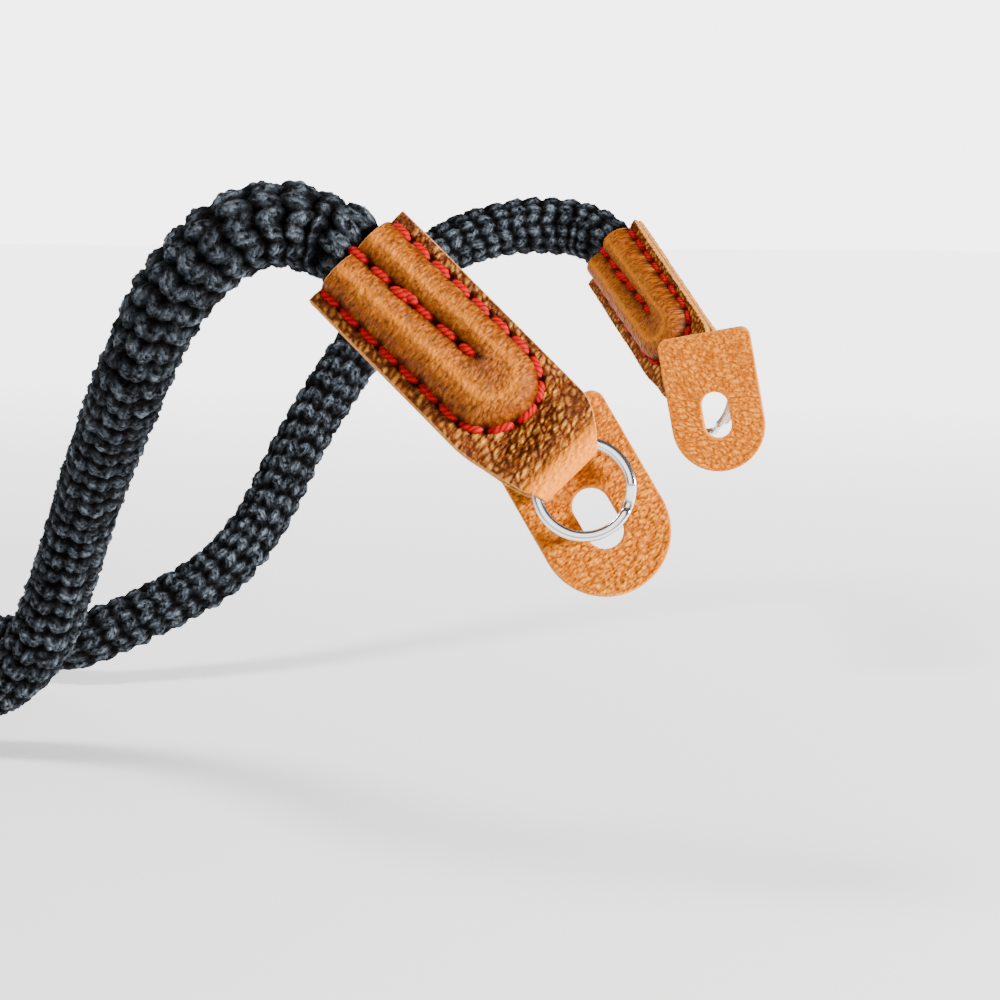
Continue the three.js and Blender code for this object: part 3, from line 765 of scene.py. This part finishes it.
# Two turns of flattened wire, with the step from one to the other
def addRing(name, material):
    end = ends[name]
    halfStep = splitRing["stepAngle"] / 2
    margin = halfStep + splitRing["endGapAngle"]
    steps, sides = splitRing["steps"], splitRing["sides"]
    angle = np.linspace(margin, 720 - margin, steps)
    level = smooth(360 - halfStep, 360 + halfStep, angle) * 2 - 1
    turn = np.radians(angle + end["stepAt"])
    outward = np.stack([np.cos(turn), np.sin(turn), 0 * turn], axis=1)
    centre = outward * ringRadius
    centre[:, 2] = level * (splitRing["wireHeight"] + splitRing["coilGap"]) / 2
    corner = np.arange(sides) * 2 * math.pi / sides
    wide, tall = (
        np.sign(value) * np.abs(value) ** splitRing["squareness"] * size / 2
        for value, size in ((np.cos(corner), splitRing["wireWidth"]), (np.sin(corner), splitRing["wireHeight"]))
    )
    ending = np.minimum(np.arange(steps), np.arange(steps)[::-1])
    size = 1 - splitRing["endTaper"] * np.clip(1 - ending / 2, 0, 1) ** 2
    local = centre[:, None, :] + size[:, None, None] * (
        wide[None, :, None] * outward[:, None, :] + tall[None, :, None] * np.array((0, 0, 1.0))
    )
    faces = gridFaces(steps, sides, True)[:, ::-1].tolist()
    faces.append(list(range(sides)))
    faces.append([(steps - 1) * sides + k for k in range(sides)][::-1])
    points = end["ringCentre"] + local.reshape(-1, 3) @ end["axes"]
    piece = addMesh("ring_" + name, points, faces, material)
    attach(piece, "root")
    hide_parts("split_ring_" + name)


guardPatch = {
    "width": 19.0, "length": 28.5, "thickness": 1.6, "corner": 2.0, "slotWidth": 5.5,
    "slotLength": 9.4, "slotToRoundEnd": 11.6, "hangBelowSlot": 2.4, "clearance": 0.3,
    "edgeRound": 0.35, "around": 340, "wrinkleDepth": 0.09, "swell": 0.03,
}


# Where the patch's middle lies: clear of the ring, and of the fold where it lies flat
def patchCentre(end):
    axes, hang = end["axes"], end["patch"]
    patchAxes = hangingAxes(hang)
    towards = patchAxes[2] * hang["side"]
    centre = end["ringCentre"] - np.array(end["hangsAt"], float)
    tilt = math.hypot(axes[0] @ towards, axes[1] @ towards)
    reach = centre @ towards + splitRing["diameter"] / 2 * tilt + ringHalfHeight * abs(axes[2] @ towards)
    if tilt < 0.1:
        reach = max(reach, (centre + axes[1] * foldCentre) @ towards + foldOuter)
    reach += guardPatch["clearance"] + guardPatch["thickness"] / 2
    return np.array(end["hangsAt"], float) + towards * reach + patchAxes[1] * guardPatch["hangBelowSlot"]


# Grown from the slot's edge out to the outline, on both faces
def addPatch(name, material):
    shape = guardPatch
    half = shape["width"] / 2
    top = shape["length"] - shape["slotToRoundEnd"]
    roundCentre = half - shape["slotToRoundEnd"]
    corner = shape["corner"]
    outline = evenly([
        *arc(0, roundCentre, half, 270, 360, 40), *arc(half - corner, top - corner, corner, 0, 90, 12),
        *arc(-half + corner, top - corner, corner, 90, 180, 12), *arc(0, roundCentre, half, 180, 270, 40)[:-1],
    ], shape["around"])
    slotRadius = shape["slotWidth"] / 2
    straight = shape["slotLength"] / 2 - slotRadius
    slot = evenly([
        *arc(0, -straight, slotRadius, 270, 360, 20), *arc(0, straight, slotRadius, 0, 180, 40),
        *arc(0, -straight, slotRadius, 180, 270, 20)[:-1],
    ], shape["around"])
    nearSlot = np.array((0, 0.005, 0.015, 0.03, 0.05))
    shares = np.concatenate([nearSlot, np.linspace(0.08, 0.92, 30), 1 - nearSlot[::-1]])[:, None, None]
    places = mix(slot[None], outline[None], shares)
    width = np.linalg.norm(outline - slot, axis=1)[None, :]
    toEdge = np.minimum(shares[..., 0], 1 - shares[..., 0]) * width
    x, y = places[..., 0], places[..., 1]
    folds, between = wrinkles(y + 30, x)
    flatness = smooth(0.1, 0.8, toEdge)
    height = shape["thickness"] / 2 - edgeDrop(toEdge, shape["edgeRound"]) - shape["wrinkleDepth"] * folds * flatness
    height = height - shape["swell"] * np.sin(0.9 * x + 0.6 * y) * np.sin(0.5 * y - 0.3 * x) * flatness
    front = np.stack([x, y, height], axis=-1)
    local = np.concatenate([front, (front * (1, 1, -1))[::-1]])
    rows, columns = local.shape[:2]
    looks = {"strip": (local * (1, 1, 0)).reshape(-1, 3)}
    # Painted shade in the wrinkles and painted highlight on the tops between them
    for key, values in (
        ("paintedWrinkleShade", 0.75 * folds * flatness), ("paintedHighlight", 0.7 * between * flatness),
        ("cut", 0.6 * (1 - smooth(0.0, 0.35, toEdge))), ("taut", 0 * x), ("paintedShade", 0 * x),
    ):
        looks[key] = np.concatenate([values, values[::-1]]).ravel()
    world = patchCentre(ends[name]) + local.reshape(-1, 3) @ hangingAxes(ends[name]["patch"])
    faces = gridFaces(rows, columns, True, looped=True)[:, ::-1].tolist()
    piece = addMesh("patch_" + name, world, faces, material, looks)
    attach(piece, "root")
    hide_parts("lug_patch_" + name)


knitted = cottonMaterial(True)
tan = leatherMaterial("tan_grained_leather", tanHide)
orange = leatherMaterial("orange_grained_leather", orangeHide)
redThread = threadMaterial()
nickel = nickelMaterial()
print("materials made")

addRope(knitted)
for name in ends:
    addLeather(name, tan)
    addStitches(name, redThread)
    addRing(name, nickel)
    addPatch(name, orange)
    print(name, "end made")

plainCotton = cottonMaterial(False)
for name in ends:
    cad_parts["rope_end_" + name].material_slots[0].material = plainCotton

# Glows are given as the places, in metres or as a direction, where they start and end, and their strengths there
studio = {
    "floorLevel": -54.6, "floorSize": 6000, "floor": "f4f4f4", "floorRoughness": 0.3, "white": "ffffff",
    "floorGlow": (0.05, 0.7, 0.4, 3.2), "lowGlow": (0.09, 0.22, 1.0, 0.0), "backGlow": (-0.2, 0.6, 1.0, 4.8),
    "fill": 0.12, "aim": (-60, 60, 0),
    "lamps": {
        "key": {"at": (500, -105, 125), "size": 130, "watts": 13.5},
        "left": {"at": (-240, -60, 330), "size": 110, "watts": 2.5},
        "front": {"at": (130, -543, 222), "size": 220, "watts": 0.4},
    },
}


# Satin acrylic floor and soft light. The floor glows as painted light, brighter towards the back, and the world's light
# is brighter behind the strap.
def addStudio():
    floorMaterial, tree, shader = newMaterial("pale_floor")
    place = addNode(tree, "TexCoord", output="Object")
    away = addNode(tree, "SeparateXYZ", (place,), "Y")
    setInputs(tree, shader, {
        "Base Color": linear(studio["floor"]), "Roughness": studio["floorRoughness"],
        # Painted light: the floor's own glow, rising towards the back
        "Emission Color": linear(studio["white"]),
        "Emission Strength": addNode(tree, "MapRange", (away, *studio["floorGlow"])),
    })
    half, level = studio["floorSize"] / 2, studio["floorLevel"]
    corners = [(-half, -half, level), (half, -half, level), (half, half, level), (-half, half, level)]
    addMesh("floor", corners, [(0, 1, 2, 3)], floorMaterial)
    for name, light in studio["lamps"].items():
        data = bpy.data.lights.new(name, "AREA")
        data.size = light["size"] * mm
        data.energy = light["watts"]
        lamp = bpy.data.objects.new(name, data)
        lamp.location = Vector(light["at"]) * mm
        lamp.rotation_euler = (Vector(studio["aim"]) * mm - lamp.location).to_track_quat("-Z", "Y").to_euler()
        bpy.context.scene.collection.objects.link(lamp)
    world = bpy.data.worlds.new("studio")
    bpy.context.scene.world = world
    world.use_nodes = True
    tree = world.node_tree
    direction = addNode(tree, "TexCoord", output="Generated")
    direction = addNode(tree, "SeparateXYZ", (direction,)).node.outputs
    low = addNode(tree, "MapRange", (direction[2], *studio["lowGlow"]))
    back = addNode(tree, "MapRange", (direction[1], *studio["backGlow"]))
    glow = addNode(tree, "Math", (low, back, studio["fill"]), operation="MULTIPLY_ADD")
    setInputs(tree, tree.nodes["Background"], {"Color": linear(studio["white"]), "Strength": glow})


addStudio()
print("floor and lights placed")
